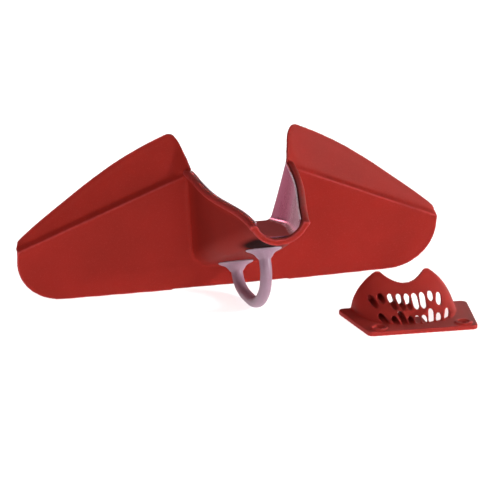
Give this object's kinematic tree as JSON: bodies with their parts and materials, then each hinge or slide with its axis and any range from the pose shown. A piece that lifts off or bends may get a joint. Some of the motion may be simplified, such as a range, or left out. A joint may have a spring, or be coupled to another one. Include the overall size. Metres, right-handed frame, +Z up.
{
  "type": "winged cradle moulding with grip loop and strainer hood",
  "caption": "Red winged moulding with a lined U-shaped throat at its middle and a flared-foot grip loop beneath it, with a separate slotted half-dome strainer hood.",
  "frame": {"origin": "middle of the footprint of the whole set, on the table", "axes": "+X to the tip of the wing beside the strainer hood, +Y to the back of the wings, away from the throat's lip, +Z up"},
  "size_m": [0.43, 0.207, 0.16],
  "materials": {
    "red_shell": "satin moulded",
    "liner_metal": "satin, mauve tint",
    "foam": "matt closed-cell foam",
    "grip_plastic": "soft satin",
    "steel": "plain",
    "red_strainer": "semi-gloss moulded"
  },
  "bodies": {
    "moulding": {"wing_shell": "red_shell", "throat_liner": "liner_metal", "liner_pad_right": "foam", "liner_pad_left": "foam", "liner_support": "foam", "grip_loop": "grip_plastic", "loop_screw_front": "steel", "loop_screw_rear": "steel", "loop_washer_front": "steel", "loop_washer_rear": "steel"},
    "hood": {"strainer_hood": "red_strainer"}
  },
  "joints": [
    {"name": "hood_lift", "type": "slide", "parent": "moulding", "child": "hood", "axis": [0, 0, 1], "range_m": [0, 0.12]}
  ]
}
